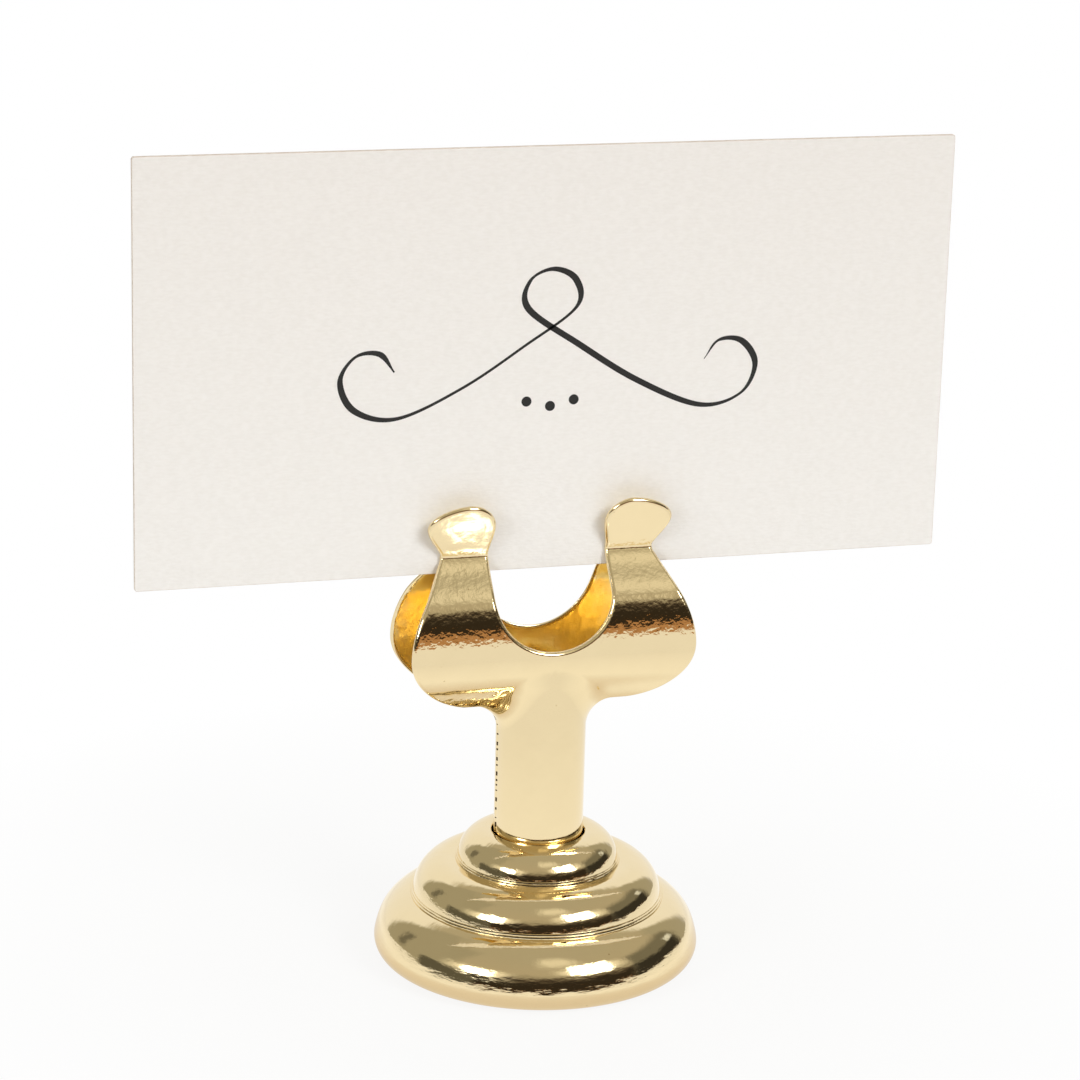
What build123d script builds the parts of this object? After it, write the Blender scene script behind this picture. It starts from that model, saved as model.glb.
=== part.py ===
from build123d import *
import math
import os

# Place card holder: a weighted three-tier base, a spring clip of two leaves, and the card in it.
# Millimetres, +Z up, front towards -Y. The origin is under the middle of the base, on the table.

# Card
CARD_WIDTH = 88.9
CARD_HEIGHT = 45.7
CARD_THICKNESS = 0.5
CARD_CORNER = 0.3
CARD_BITE = 1.9  # reach of the card below the line where the jaws pinch it
CARD_FIT = 0.02  # gap on each side of the card at that line

# Clip: one sheet thickness for the stem, the loop, the arms and the ears
SHEET = 0.55
SEAM_GAP = 0.1  # between the front and back leaf
STEM_RADIUS = 4.9
STEM_RISE = 14.8  # bottom of the loop above the top of the base
STEM_FILLET = 3.0  # where the stem runs into the loop
LOOP_SWELL = 0.3  # the loop stands this far proud of the stem
LOOP_SIDE_RADIUS = 9.0  # below the middle of the loop
ARM_SIDE_RADIUS = 17.0  # above it
LOOP_DROP = 6.9  # from the middle of the loop to its bottom
BEND_DROP = 1.2  # from the middle of the loop to the line where a jaw bends
SHOULDER_RISE = 4.3  # from the middle of the loop to where the arms turn in
SHOULDER_RADIUS = 4.0
ARM_RISE = 10.1  # from the middle of the loop to the pinch line
PINCH_RADIUS = 1.05  # on the face towards the card
EAR_RISE = 5.95  # from the pinch line to the top of the ears
EAR_TILT = 21.0  # degrees, away from the card
WING_HALF_WIDTH = 15.8
WING_CORNER_WIDTH = 12.0
WING_CORNER_DROP = 7.5
NOTCH_HALF_WIDTH = 6.5
BRIDGE_HEIGHT = 1.3  # sheet left between the notch and the bending line
NECK_WIDTH = 5.2
EAR_LOBE = 1.8  # reach of an ear beyond its neck, outwards
EAR_LOBE_RISE = 3.5
EAR_CHEEK = 0.3  # and inwards
EAR_CHEEK_RISE = 4.1
EAR_PEAK = 2.4  # from the inner side of the neck to the top of an ear
WING_SLOPE = 31.0  # degrees from upright, where a wing's edge runs into the neck
EAR_SLOPE = 28.0  # and where an ear's edge leaves it

# Base shell: three round beads, each standing on a narrow band above the next
SHELL_SHEET = 0.8
HOLE_RADIUS = 5.2
TIER_RADII = (8.9, 13.75, 17.8)
BEAD_RADII = (3.6, 4.6, 5.2)
BEAD_STOP = 10.0  # degrees above level, where a bead ends over its band
BAND_WIDTH = 0.15
BAND_HEIGHT = 0.35
LEDGE = 0.12
RIM_LIFT = 0.35  # rim above the table
FOOT_ROLL = 2.05  # radius of the foot's rolled lower edge
LIP_WIDTH = 1.2  # crimped under the weight

# Inside the base
WEIGHT_FIT = 0.1
WEIGHT_CORNER = 33.0  # degrees above level, where each step of the weight meets its bead
SOCKET_FIT = 0.03
SOCKET_FLOOR = 2.4  # thickness of the weight between the stem and the screw
COUNTERBORE_DEPTH = 3.5
PAD_FIT = 0.15
CORE_FIT = 0.02
CORE_LENGTH = 15.0
SCREW_RADIUS = 2.0
SCREW_FIT = 0.02
SCREW_REACH = 8.0  # into the core
SCREW_HEAD_RADIUS = 3.5
SCREW_HEAD_HEIGHT = 2.2
SCREW_HEAD_ROUND = 0.9
SCREW_RECESS_LENGTH = 4.0
SCREW_RECESS_WIDTH = 0.9
SCREW_RECESS_DEPTH = 1.1
TAP_RUNOUT = 1.5  # thread hole beyond the screw's tip
HEAD_ROOM = 0.5
WASHER_THICKNESS = 0.9
WASHER_RADIUS = 3.4
WASHER_SPLIT = 0.7

# Heights, worked out from the table upwards
LIP_TOP_Z = RIM_LIFT + SHELL_SHEET
SCREW_SEAT_Z = LIP_TOP_Z + COUNTERBORE_DEPTH
SOCKET_Z = SCREW_SEAT_Z + SOCKET_FLOOR
BEAD_RINGS = tuple(tier - bead for tier, bead in zip(TIER_RADII, BEAD_RADII))
BEAD_END_RISES = tuple(bead * math.sin(math.radians(BEAD_STOP)) for bead in BEAD_RADII)


def height_on_bead(ring, bead, centre_z, radius):
    """Height of a bead's upper surface at a distance from the axis."""
    return centre_z + math.sqrt(bead**2 - (radius - ring) ** 2)


def stacked_bead_heights():
    """Centre heights of the beads, top tier first, stacked from the foot upwards."""
    heights = [RIM_LIFT + FOOT_ROLL]
    for upper in (1, 0):
        lower = upper + 1
        band_foot = TIER_RADII[upper] + BAND_WIDTH + LEDGE
        foot_z = height_on_bead(BEAD_RINGS[lower], BEAD_RADII[lower], heights[0], band_foot)
        heights.insert(0, foot_z + BAND_HEIGHT - BEAD_END_RISES[upper])
    return tuple(heights)


BEAD_HEIGHTS = stacked_bead_heights()
BASE_TOP_Z = BEAD_HEIGHTS[0] + BEAD_RADII[0]
LOOP_BOTTOM_Z = BASE_TOP_Z + STEM_RISE
LOOP_MID_Z = LOOP_BOTTOM_Z + LOOP_DROP
BEND_Z = LOOP_MID_Z - BEND_DROP
NOTCH_BOTTOM_Z = BEND_Z + BRIDGE_HEIGHT
PINCH_Z = LOOP_MID_Z + ARM_RISE
EAR_TOP_Z = PINCH_Z + EAR_RISE
CARD_BOTTOM_Z = PINCH_Z - CARD_BITE

# The loop's section, as arcs about these centres: its sides, and its bottom tangent to both
LOOP_HALF_DEPTH = STEM_RADIUS + LOOP_SWELL
SIDE_CENTRE_Y = LOOP_SIDE_RADIUS - LOOP_HALF_DEPTH
LOOP_BOTTOM_RADIUS = (LOOP_SIDE_RADIUS**2 - SIDE_CENTRE_Y**2 - LOOP_DROP**2) / (
    2 * (LOOP_SIDE_RADIUS - LOOP_DROP)
)
LOOP_CAP = math.radians(20)  # the loop's blank is closed this far above its middle


def arc(centre, radius, start, end):
    """Arc about a centre, between two angles in radians."""
    angles = (start, (start + end) / 2, end)
    points = [(centre[0] + radius * math.cos(a), centre[1] + radius * math.sin(a)) for a in angles]
    return ThreePointArc(*points)


def polyline_face(items):
    """Face whose outline is a list of curves, joined by straight lines where they don't meet."""
    edges = []
    for item, following in zip(items, items[1:] + items[:1]):
        edges.append(item)
        if (item @ 1 - following @ 0).length > 1e-6:
            edges.append(Line(item @ 1, following @ 0))
    return make_face(edges)


def backwards(items):
    """The same lines and arcs, from the last end to the first."""
    turned = []
    for item in reversed(items):
        if item.geom_type == GeomType.LINE:
            turned.append(Line(item @ 1, item @ 0))
        else:
            turned.append(ThreePointArc(item @ 1, item @ 0.5, item @ 0))
    return turned


def revolved(items):
    """Solid of revolution from an outline in distance from the axis and height."""
    return revolve(Plane.XZ * polyline_face(items), Axis.Z)


def disc(radius, bottom, top):
    """Upright cylinder on the axis between two heights."""
    return Pos(0, 0, bottom) * Cylinder(radius, top - bottom, align=(Align.CENTER, Align.CENTER, Align.MIN))


def base_shell():
    """Spun sheet: three beads on bands, a rolled foot and a lip crimped inwards."""
    foot_ring = TIER_RADII[2] - FOOT_ROLL
    lip_radius = foot_ring - LIP_WIDTH
    outside = []
    for tier, (ring, bead, centre_z) in enumerate(zip(BEAD_RINGS, BEAD_RADII, BEAD_HEIGHTS)):
        inner = HOLE_RADIUS if tier == 0 else TIER_RADII[tier - 1] + BAND_WIDTH + LEDGE
        start = math.acos((inner - ring) / bead)
        end = 0 if tier == 2 else math.radians(BEAD_STOP)
        outside.append(arc((ring, centre_z), bead, start, end))
        if tier < 2:
            band = TIER_RADII[tier] + BAND_WIDTH
            band_top = centre_z + BEAD_END_RISES[tier]
            outside.append(Line((band, band_top), (band, band_top - BAND_HEIGHT)))
    outside.append(arc((foot_ring, BEAD_HEIGHTS[2]), FOOT_ROLL, 0, -math.pi / 2))

    inside = []
    wall = HOLE_RADIUS
    for ring, bead, centre_z in zip(BEAD_RINGS, BEAD_RADII, BEAD_HEIGHTS):
        inner_bead = bead - SHELL_SHEET
        begin = wall if wall == HOLE_RADIUS else max(wall, ring)
        start = math.acos((begin - ring) / inner_bead)
        if begin > wall > HOLE_RADIUS:
            crown = centre_z + inner_bead
            inside.append(Line((wall, crown), (begin, crown)))
        inside.append(arc((ring, centre_z), inner_bead, start, 0))
        wall = ring + inner_bead
    inside.append(arc((foot_ring, BEAD_HEIGHTS[2]), FOOT_ROLL - SHELL_SHEET, 0, -math.pi / 2))

    lip = Line((lip_radius, RIM_LIFT), (lip_radius, LIP_TOP_Z))
    return revolved(outside + [lip] + backwards(inside))


def base_weight():
    """Cast slug: three steps up inside the beads, a socket for the stem and a screw hole."""
    foot_ring = TIER_RADII[2] - FOOT_ROLL
    foot_z = BEAD_HEIGHTS[2]
    corner = math.radians(WEIGHT_CORNER)
    steps = []
    for ring, bead, centre_z in zip(BEAD_RINGS, BEAD_RADII, BEAD_HEIGHTS):
        inner = bead - SHELL_SHEET - WEIGHT_FIT
        steps.append((ring + inner * math.cos(corner), centre_z + inner * math.sin(corner)))
    (top_r, top_z), (mid_r, mid_z), (low_r, low_z) = steps
    roll = FOOT_ROLL - SHELL_SHEET - WEIGHT_FIT
    chamfer_z = foot_z - math.sqrt(roll**2 - (low_r - foot_ring) ** 2)
    outline = Polyline(
        (0, LIP_TOP_Z), (foot_ring, LIP_TOP_Z), (low_r, chamfer_z), (low_r, low_z), (mid_r, low_z),
        (mid_r, mid_z), (top_r, mid_z), (top_r, top_z), (0, top_z), (0, LIP_TOP_Z),
    )
    slug = revolve(Plane.XZ * make_face(outline), Axis.Z)
    socket = disc(STEM_RADIUS + SOCKET_FIT, SOCKET_Z, top_z)
    screw_hole = disc(SCREW_RADIUS + SCREW_FIT, LIP_TOP_Z, SOCKET_Z)
    counterbore = disc(SCREW_HEAD_RADIUS + HEAD_ROOM, LIP_TOP_Z, SCREW_SEAT_Z)
    return slug - socket - screw_hole - counterbore


def base_pad():
    """Felt disc inside the crimped lip, standing a little proud of it."""
    return disc(TIER_RADII[2] - FOOT_ROLL - LIP_WIDTH - PAD_FIT, 0, LIP_TOP_Z)


def lock_washer():
    """Split spring washer under the screw's head."""
    bottom = SCREW_SEAT_Z - WASHER_THICKNESS
    ring = disc(WASHER_RADIUS, bottom, SCREW_SEAT_Z) - disc(SCREW_RADIUS + SCREW_FIT, bottom, SCREW_SEAT_Z)
    split = Pos(WASHER_RADIUS / 2, 0, SCREW_SEAT_Z) * Box(WASHER_RADIUS, WASHER_SPLIT, 3 * WASHER_THICKNESS)
    return ring - split


def base_screw():
    """Pan-head screw with a cross recess, head down."""
    head_top = SCREW_SEAT_Z - WASHER_THICKNESS
    head_bottom = head_top - SCREW_HEAD_HEIGHT
    head = disc(SCREW_HEAD_RADIUS, head_bottom, head_top)
    head = fillet(head.edges().group_by(Axis.Z)[0], SCREW_HEAD_ROUND)
    arm = Box(SCREW_RECESS_LENGTH, SCREW_RECESS_WIDTH, 2 * SCREW_RECESS_DEPTH)
    recess = Pos(0, 0, head_bottom) * (arm + Rot(0, 0, 90) * arm)
    shank = disc(SCREW_RADIUS, head_top, SOCKET_Z + SCREW_REACH)
    return head + shank - recess


def stem_core():
    """Rod inside the two stem halves, tapped for the screw."""
    rod = disc(STEM_RADIUS - SHEET - CORE_FIT, SOCKET_Z, SOCKET_Z + CORE_LENGTH)
    return rod - disc(SCREW_RADIUS + SCREW_FIT, SOCKET_Z, SOCKET_Z + SCREW_REACH + TAP_RUNOUT)


def loop_blank(inset):
    """Solid of the loop, closed at its cap, drawn in by an inset on every side."""
    side = LOOP_SIDE_RADIUS - inset
    bottom = LOOP_BOTTOM_RADIUS - inset
    bottom_z = LOOP_BOTTOM_Z + LOOP_BOTTOM_RADIUS
    tangent = math.atan2(LOOP_MID_Z - bottom_z, SIDE_CENTRE_Y)
    front = arc((SIDE_CENTRE_Y, LOOP_MID_Z), side, math.pi - LOOP_CAP, math.pi + tangent)
    under = arc((0, bottom_z), bottom, math.pi + tangent, 2 * math.pi - tangent)
    back = arc((-SIDE_CENTRE_Y, LOOP_MID_Z), side, -tangent, LOOP_CAP)
    return extrude(Plane.YZ * polyline_face([front, under, back]), WING_HALF_WIDTH, both=True)


def tee_blank(inset):
    """Loop and stem together, with the hollow corner between them rounded."""
    stem_radius = STEM_RADIUS - inset
    tee = loop_blank(inset) + disc(stem_radius, SOCKET_Z, LOOP_MID_Z)
    corner = [
        edge for edge in tee.edges()
        if edge.bounding_box().max.Z > LOOP_BOTTOM_Z
        and edge.bounding_box().min.Z > LOOP_BOTTOM_Z - SHEET
        and abs(edge.center().X) < stem_radius + SHEET
        and edge.geom_type not in (GeomType.LINE, GeomType.CIRCLE)
    ]
    return fillet(corner, STEM_FILLET + inset)


def upward(slope):
    """Direction that leans from upright by an angle in degrees, to the right where positive."""
    return (math.sin(math.radians(slope)), math.cos(math.radians(slope)))


def leaf_outline():
    """Front view of a leaf above the stem: two winged arms with ears, and the notch between."""
    neck_outer = NOTCH_HALF_WIDTH + NECK_WIDTH
    corner_x = WING_HALF_WIDTH - WING_CORNER_WIDTH
    corner = EllipticalCenterArc(
        (corner_x, LOOP_MID_Z), WING_CORNER_WIDTH, WING_CORNER_DROP, start_angle=-90, arc_size=90
    )
    wing = Spline(
        (WING_HALF_WIDTH, LOOP_MID_Z), (neck_outer, PINCH_Z), tangents=[(0, 1), upward(-WING_SLOPE)]
    )
    peak = (NOTCH_HALF_WIDTH + EAR_PEAK, EAR_TOP_Z)
    ear_outside = Spline(
        (neck_outer, PINCH_Z), (neck_outer + EAR_LOBE, PINCH_Z + EAR_LOBE_RISE), peak,
        tangents=[upward(EAR_SLOPE), (-1, 0)],
    )
    ear_inside = Spline(
        peak, (NOTCH_HALF_WIDTH - EAR_CHEEK, PINCH_Z + EAR_CHEEK_RISE), (NOTCH_HALF_WIDTH, PINCH_Z),
        tangents=[(-1, 0), (0, -1)],
    )
    notch = arc((0, NOTCH_BOTTOM_Z + NOTCH_HALF_WIDTH), NOTCH_HALF_WIDTH, 0, -math.pi / 2)
    foot = Line((0, LOOP_MID_Z - WING_CORNER_DROP), corner @ 0)
    right = polyline_face([foot, corner, wing, ear_outside, ear_inside, notch])
    return right + mirror(right, Plane.YZ)


def stem_half():
    """Front half of the stem and of the loop's lower half, up to the bending line."""
    reach = 2 * WING_HALF_WIDTH
    shell = tee_blank(0) - tee_blank(SHEET)
    leaf = extrude(Plane.XZ * leaf_outline(), reach, both=True)
    stem = Pos(0, 0, SOCKET_Z) * Box(
        2 * (STEM_RADIUS + STEM_FILLET), reach, LOOP_MID_Z - SOCKET_Z,
        align=(Align.CENTER, Align.CENTER, Align.MIN),
    )
    front = Pos(0, -SEAM_GAP / 2, SOCKET_Z) * Box(
        2 * reach, reach, BEND_Z - SOCKET_Z, align=(Align.CENTER, Align.MAX, Align.MIN)
    )
    return shell & (leaf + stem) & front


def jaw_bends():
    """Centres and mid-sheet radii of the arcs in a jaw's section, and the lean of its arms."""
    half = SHEET / 2
    loop = (Vector(SIDE_CENTRE_Y, LOOP_MID_Z), LOOP_SIDE_RADIUS - half)
    side = (Vector(ARM_SIDE_RADIUS - LOOP_HALF_DEPTH, LOOP_MID_Z), ARM_SIDE_RADIUS - half)
    turn = math.asin(SHOULDER_RISE / ARM_SIDE_RADIUS)
    inwards = Vector(-math.cos(turn), math.sin(turn)) * (ARM_SIDE_RADIUS - SHOULDER_RADIUS)
    shoulder = (side[0] + inwards, SHOULDER_RADIUS - half)
    nose = (Vector(-(CARD_THICKNESS / 2 + CARD_FIT + PINCH_RADIUS), PINCH_Z), PINCH_RADIUS - half)
    span = nose[0] - shoulder[0]
    lean = math.atan2(span.Y, -span.X) - math.acos((shoulder[1] + nose[1]) / span.length)
    return {"loop": loop, "side": side, "turn": turn, "shoulder": shoulder, "nose": nose, "lean": lean}


def jaw_side(shift, bends):
    """One face of a jaw's section, shifted towards the card from the middle of the sheet."""
    turn, lean, tilt = bends["turn"], bends["lean"], math.radians(EAR_TILT)

    def bend(name, start, end, towards_card=1):
        centre, radius = bends[name]
        return arc((centre.X, centre.Y), radius - towards_card * shift, start, end)

    loop = bend("loop", math.pi + LOOP_CAP, math.pi)
    side = bend("side", math.pi, math.pi - turn)
    shoulder = bend("shoulder", math.pi - turn, math.pi - lean)
    nose = bend("nose", -lean, tilt, towards_card=-1)
    rise = EAR_TOP_Z - (nose @ 1).Y
    ear = Line(nose @ 1, (nose @ 1) + Vector(-rise * math.tan(tilt), rise))
    return [loop, side, shoulder, nose, ear]


def jaw():
    """Front jaw above the bending line: the arms lean in to the pinch line, the ears lean out."""
    bends = jaw_bends()
    section = polyline_face(jaw_side(-SHEET / 2, bends) + backwards(jaw_side(SHEET / 2, bends)))
    strip = extrude(Plane.YZ * section, WING_HALF_WIDTH, both=True)
    leaf = extrude(Plane.XZ * leaf_outline(), 2 * WING_HALF_WIDTH, both=True)
    above = Pos(0, 0, BEND_Z) * Box(
        4 * WING_HALF_WIDTH, 4 * WING_HALF_WIDTH, EAR_TOP_Z, align=(Align.CENTER, Align.CENTER, Align.MIN)
    )
    return strip & leaf & above


def place_card():
    """Upright card with barely rounded corners, its lower edge below the pinch line."""
    face = Pos(0, CARD_BOTTOM_Z + CARD_HEIGHT / 2) * RectangleRounded(CARD_WIDTH, CARD_HEIGHT, CARD_CORNER)
    return extrude(Plane.XZ * face, CARD_THICKNESS / 2, both=True)


def main():
    front_stem_half = stem_half()
    front_jaw = jaw()
    nodes = {
        "base_shell": base_shell(),
        "base_weight": base_weight(),
        "base_pad": base_pad(),
        "lock_washer": lock_washer(),
        "base_screw": base_screw(),
        "stem_core": stem_core(),
        "front_stem_half": front_stem_half,
        "back_stem_half": Rot(0, 0, 180) * front_stem_half,
        "front_jaw": front_jaw,
        "back_jaw": Rot(0, 0, 180) * front_jaw,
        "place_card": place_card(),
    }
    os.makedirs("parts", exist_ok=True)
    for name, solid in nodes.items():
        export_step(solid, f"parts/{name}.step")
    print(f"base top {BASE_TOP_Z:.2f}, bend {BEND_Z:.2f}, pinch {PINCH_Z:.2f}, ears {EAR_TOP_Z:.2f}")


main()
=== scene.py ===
import math

import bmesh
import bpy
import numpy as np
from mathutils import Matrix, Vector
from mathutils.geometry import delaunay_2d_cdt


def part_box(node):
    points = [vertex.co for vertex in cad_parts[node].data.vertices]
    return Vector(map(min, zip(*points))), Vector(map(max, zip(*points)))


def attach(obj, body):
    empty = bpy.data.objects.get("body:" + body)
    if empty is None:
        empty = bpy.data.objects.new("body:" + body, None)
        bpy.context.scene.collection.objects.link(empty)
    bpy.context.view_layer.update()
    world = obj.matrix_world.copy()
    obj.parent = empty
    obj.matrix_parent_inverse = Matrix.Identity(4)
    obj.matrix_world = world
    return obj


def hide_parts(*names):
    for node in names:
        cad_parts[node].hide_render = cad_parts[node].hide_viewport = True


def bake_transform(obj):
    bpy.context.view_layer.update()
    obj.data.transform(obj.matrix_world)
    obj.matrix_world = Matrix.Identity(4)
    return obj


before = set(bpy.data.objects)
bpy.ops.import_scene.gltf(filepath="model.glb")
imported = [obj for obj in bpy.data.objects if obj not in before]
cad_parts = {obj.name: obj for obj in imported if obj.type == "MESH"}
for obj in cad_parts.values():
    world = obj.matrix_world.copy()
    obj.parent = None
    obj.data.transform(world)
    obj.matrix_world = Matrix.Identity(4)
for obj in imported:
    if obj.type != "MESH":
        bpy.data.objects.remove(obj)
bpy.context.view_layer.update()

# Place card holder: a plated spring clip on a three-tier base, with a card in its jaws.
# Sizes are in millimetres, with the front towards -Y. Meshes are scaled to metres as they are made.
MM = 0.001


def node_box(node):
    """Lowest and highest corner of a CAD node, in millimetres."""
    return [np.array(corner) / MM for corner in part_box(node)]


JAW_LOW, JAW_HIGH = node_box("front_jaw")
SHELL_LOW, SHELL_HIGH = node_box("base_shell")
PAD_RADIUS, _, PAD_TOP = node_box("base_pad")[1]
CARD_LOW, CARD_HIGH = node_box("place_card")

# Clip: one sheet thickness for the stem, the loop, the arms and the ears
SHEET = 0.55
EDGE_REACH = 0.44  # rounding of the stamped edges, along the sheet
EDGE_DROP = 0.38  # and through it, on the outer face
INNER_EDGE_DROP = 0.12
SEAM_GAP = 0.1
NICK_DEPTH = 0.22  # small tears along the seam
NICK_SPACING = 0.22
NICK_SHARE = 0.4
STEM_RADIUS = 4.9
STEM_FILLET = 3.0
FRONT_BLEND = 0.5  # softening where the stem's front runs into the loop
FRONT_BLEND_RISE = 2.5
LOOP_SWELL = 0.3
LOOP_SIDE_RADIUS = 9.0
ARM_SIDE_RADIUS = 17.0
LOOP_DROP = 6.9
BEND_DROP = 1.2
SHOULDER_RISE = 5.0
SHOULDER_RADIUS = 4.0
ARM_RISE = 10.1
PINCH_RADIUS = 1.05
SHOULDER_EASE = math.radians(8)  # the arms are slightly bowed between their two bends
PINCH_EASE = math.radians(10)
ARM_TURN = 0.17  # how far the shading of the arms is turned to one side
ARM_TURN_RISE = 1.5
WING_TURNS = (0.34, 1.2)  # and that of the undersides of the left and right wing, forwards
WING_TURN_TOP = 3.4  # above the bottom of the loop
WING_TURN_EASE = 2.0
EAR_TILT = math.radians(21)
WING_HALF_WIDTH = JAW_HIGH[0]
WING_CORNER_WIDTH = 12.0
WING_CORNER_DROP = 7.5
NOTCH_HALF_WIDTH = 6.5
BRIDGE_HEIGHT = 1.3
NECK_WIDTH = 5.2
EAR_LOBE = 1.8
EAR_LOBE_RISE = 3.5
EAR_CHEEK = 0.3
EAR_CHEEK_RISE = 4.1
EAR_PEAK = 2.4
WING_SLOPE = math.radians(31)
EAR_SLOPE = math.radians(28)
NECK_SOFTENING = 0.5  # length over which the outline's corners are rounded

SOCKET_Z = node_box("front_stem_half")[0][2]
BEND_Z = JAW_LOW[2]
EAR_TOP_Z = JAW_HIGH[2]
LOOP_MID_Z = BEND_Z + BEND_DROP
LOOP_BOTTOM_Z = LOOP_MID_Z - LOOP_DROP
NOTCH_BOTTOM_Z = BEND_Z + BRIDGE_HEIGHT
PINCH_Z = LOOP_MID_Z + ARM_RISE
LOOP_HALF_DEPTH = STEM_RADIUS + LOOP_SWELL
SIDE_CENTRE_Y = LOOP_SIDE_RADIUS - LOOP_HALF_DEPTH
LOOP_BOTTOM_RADIUS = (LOOP_SIDE_RADIUS**2 - SIDE_CENTRE_Y**2 - LOOP_DROP**2) / (
    2 * (LOOP_SIDE_RADIUS - LOOP_DROP)
)
LOOP_BOTTOM_CENTRE_Z = LOOP_BOTTOM_Z + LOOP_BOTTOM_RADIUS
LOOP_TANGENT = math.atan2(LOOP_MID_Z - LOOP_BOTTOM_CENTRE_Z, SIDE_CENTRE_Y)

# Where the leaf's mesh changes from rows round the stem to rows across the arms
TEE_TOP_Z = LOOP_MID_Z - 1.6
FAN_SIDE_X = STEM_RADIUS + STEM_FILLET
FAN_FOOT_Z = LOOP_BOTTOM_Z - STEM_FILLET
SEAM_Y = SEAM_GAP / 2 + EDGE_REACH
AROUND = 24  # columns from the seam to the middle of the stem
FAN = 28  # rays round the corner between the stem and the loop
STEM_ROWS = 90
WING_COLUMNS = 18
ARM_COLUMNS = np.arange(-45, 46) * 0.35
EDGE_SPACING = 0.3
LATTICE_CLEARANCE = 0.11  # between the outline and the points inside it
ROWS_PER_RUN = (6, 14, 14, 24, 18, 14)

# Card
CARD_THICKNESS = CARD_HIGH[1] - CARD_LOW[1]
CARD_CORNER = 0.3
CARD_EDGE = 0.07
CARD_FIT = 0.02

# Base: three round beads, each standing on a narrow band above the next
SHELL_SHEET = 0.8
HOLE_RADIUS = 5.06
HOLE_ROLL = 0.35  # rounding of the sheet round the hole
TIER_RADII = (8.9, 13.75, SHELL_HIGH[0])
BEAD_RADII = (3.6, 4.6, 5.2)
BEAD_STOP = math.radians(10)
CROWN_RADII = (3.2, 3.7, 4.9)  # each bead is rounder at its crown than on its flank
FLANK_RADII = (5.5, 7.0, 11.0)
CROWN_DROPS = (0, 0.1, 0)
FLANK_START = math.radians(19)
FLANK_STOP = math.radians(10.5)
FINE_STEPS = 2  # leaning steps between a bead's flank and the tier below
STEP_LEAN = math.radians(15.5)
STEP_WALL = 0.6  # share of a step's height that leans
BAND_WIDTH = 0.15
BAND_HEIGHT = 0.35
LEDGE = 0.12
RIM_LIFT = SHELL_LOW[2]
FOOT_ROLL = 2.05
LIP_WIDTH = 1.2
LIP_TOP_Z = RIM_LIFT + SHELL_SHEET
RING_SOFTENING = 0.025
BEAD_RINGS = [tier - bead for tier, bead in zip(TIER_RADII, BEAD_RADII)]
SHELL_SIDES = 180
PAD_SIDES = 96
PAD_BEVEL = 0.25
PAD_DISH = 0.02
PAD_PROFILE = (
    (0, PAD_DISH), (PAD_RADIUS - PAD_BEVEL, 0), (PAD_RADIUS, PAD_BEVEL), (PAD_RADIUS, PAD_TOP), (0, PAD_TOP)
)


# Points and paths


def smoothstep(value):
    """Rises from 0 to 1 with soft ends."""
    value = np.clip(value, 0, 1)
    return value * value * (3 - 2 * value)


def mixed(first, second, share):
    """Between two values, by the second one's share."""
    return (1 - share) * first + share * second


def unit(vectors):
    """Vectors brought to length 1."""
    return vectors / np.linalg.norm(vectors, axis=1)[:, None]


def headings(path):
    """Directions along a path."""
    return unit(np.gradient(path, axis=0))


def to_left(directions):
    """Flat directions, turned a quarter to the left."""
    return np.column_stack([-directions[:, 1], directions[:, 0]])


def arc_points(centre, radius, start, end, count):
    """Points along an arc about a centre, and their directions from it."""
    angles = np.linspace(start, end, count)
    directions = np.column_stack([np.cos(angles), np.sin(angles)])
    return np.array(centre) + radius * directions, directions


def clamped_spline(points, first_tangent, last_tangent, count):
    """Smooth curve through two or three points with given end directions."""
    points = np.array(points, float)
    spans = np.linalg.norm(np.diff(points, axis=0), axis=1)
    tangents = [np.array(first_tangent), np.array(last_tangent)]
    if len(points) == 3:
        first, last = spans
        pull = 3 * ((points[1] - points[0]) / first**2 + (points[2] - points[1]) / last**2)
        middle = (pull - tangents[0] / first - tangents[1] / last) / (2 / first + 2 / last)
        tangents.insert(1, middle)
    t = np.linspace(0, 1, count)[:, None]
    curve = []
    for i, span in enumerate(spans):
        curve.append(
            (1 + 2 * t) * (1 - t) ** 2 * points[i]
            + t * (1 - t) ** 2 * span * tangents[i]
            + t**2 * (3 - 2 * t) * points[i + 1]
            + t**2 * (t - 1) * span * tangents[i + 1]
        )
    return np.vstack(curve)


def along(path):
    """Distance along a path of points."""
    return np.concatenate([[0], np.cumsum(np.linalg.norm(np.diff(path, axis=0), axis=1))])


def resampled(path, distances):
    """Points of a path at given distances along it."""
    travelled = along(path)
    return np.column_stack([np.interp(distances, travelled, column) for column in path.T])


def evenly(path, spacing):
    """A path's points, respaced about evenly, with both ends kept."""
    total = along(path)[-1]
    return resampled(path, np.linspace(0, total, max(2, round(total / spacing) + 1)))


def distinct(path):
    """A path without repeated points."""
    return path[np.concatenate([[True], np.diff(along(path)) > 1e-6])]


def softened(path, spacing, length, **ends):
    """An evenly spaced path with its corners rounded twice over a length."""
    half = round(length / spacing / 2)
    window = np.ones(2 * half + 1) / (2 * half + 1)
    for _ in range(2):
        padded = np.pad(path, ((half, half), (0, 0)), **ends)
        path = np.column_stack([np.convolve(column, window, mode="valid") for column in padded.T])
    return path


def drawn_in(path, distance):
    """A path moved to its left, into the sheet, by a distance."""
    return path + distance * to_left(headings(path))


# The clip's leaf: its section above the stem


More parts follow.
